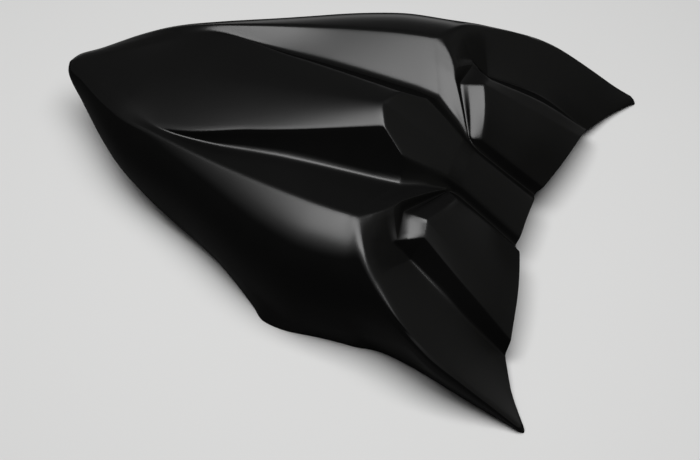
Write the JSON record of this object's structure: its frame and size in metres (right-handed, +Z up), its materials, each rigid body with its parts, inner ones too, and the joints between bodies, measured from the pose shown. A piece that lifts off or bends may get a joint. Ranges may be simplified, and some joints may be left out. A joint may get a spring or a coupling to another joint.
{
  "type": "motorcycle seat cowl",
  "caption": "Moulded seat cowl that covers the rear seat of a motorcycle: a ridged hump between sharp shoulders, flared side panels and a sloping front collar with raised pads.",
  "frame": {"origin": "centre of the bounding box's bottom face, in the plane that the rim rests on", "axes": "+X forward, from the tail tip to the wing tips; +Y to the rider's left; +Z up, away from the rim"},
  "size_m": [0.35, 0.26, 0.0928],
  "materials": {
    "satin_black": "satin black moulded plastic, slightly grained on the front collar"
  },
  "bodies": {
    "root": {"cowl_shell": "satin_black"}
  },
  "joints": []
}
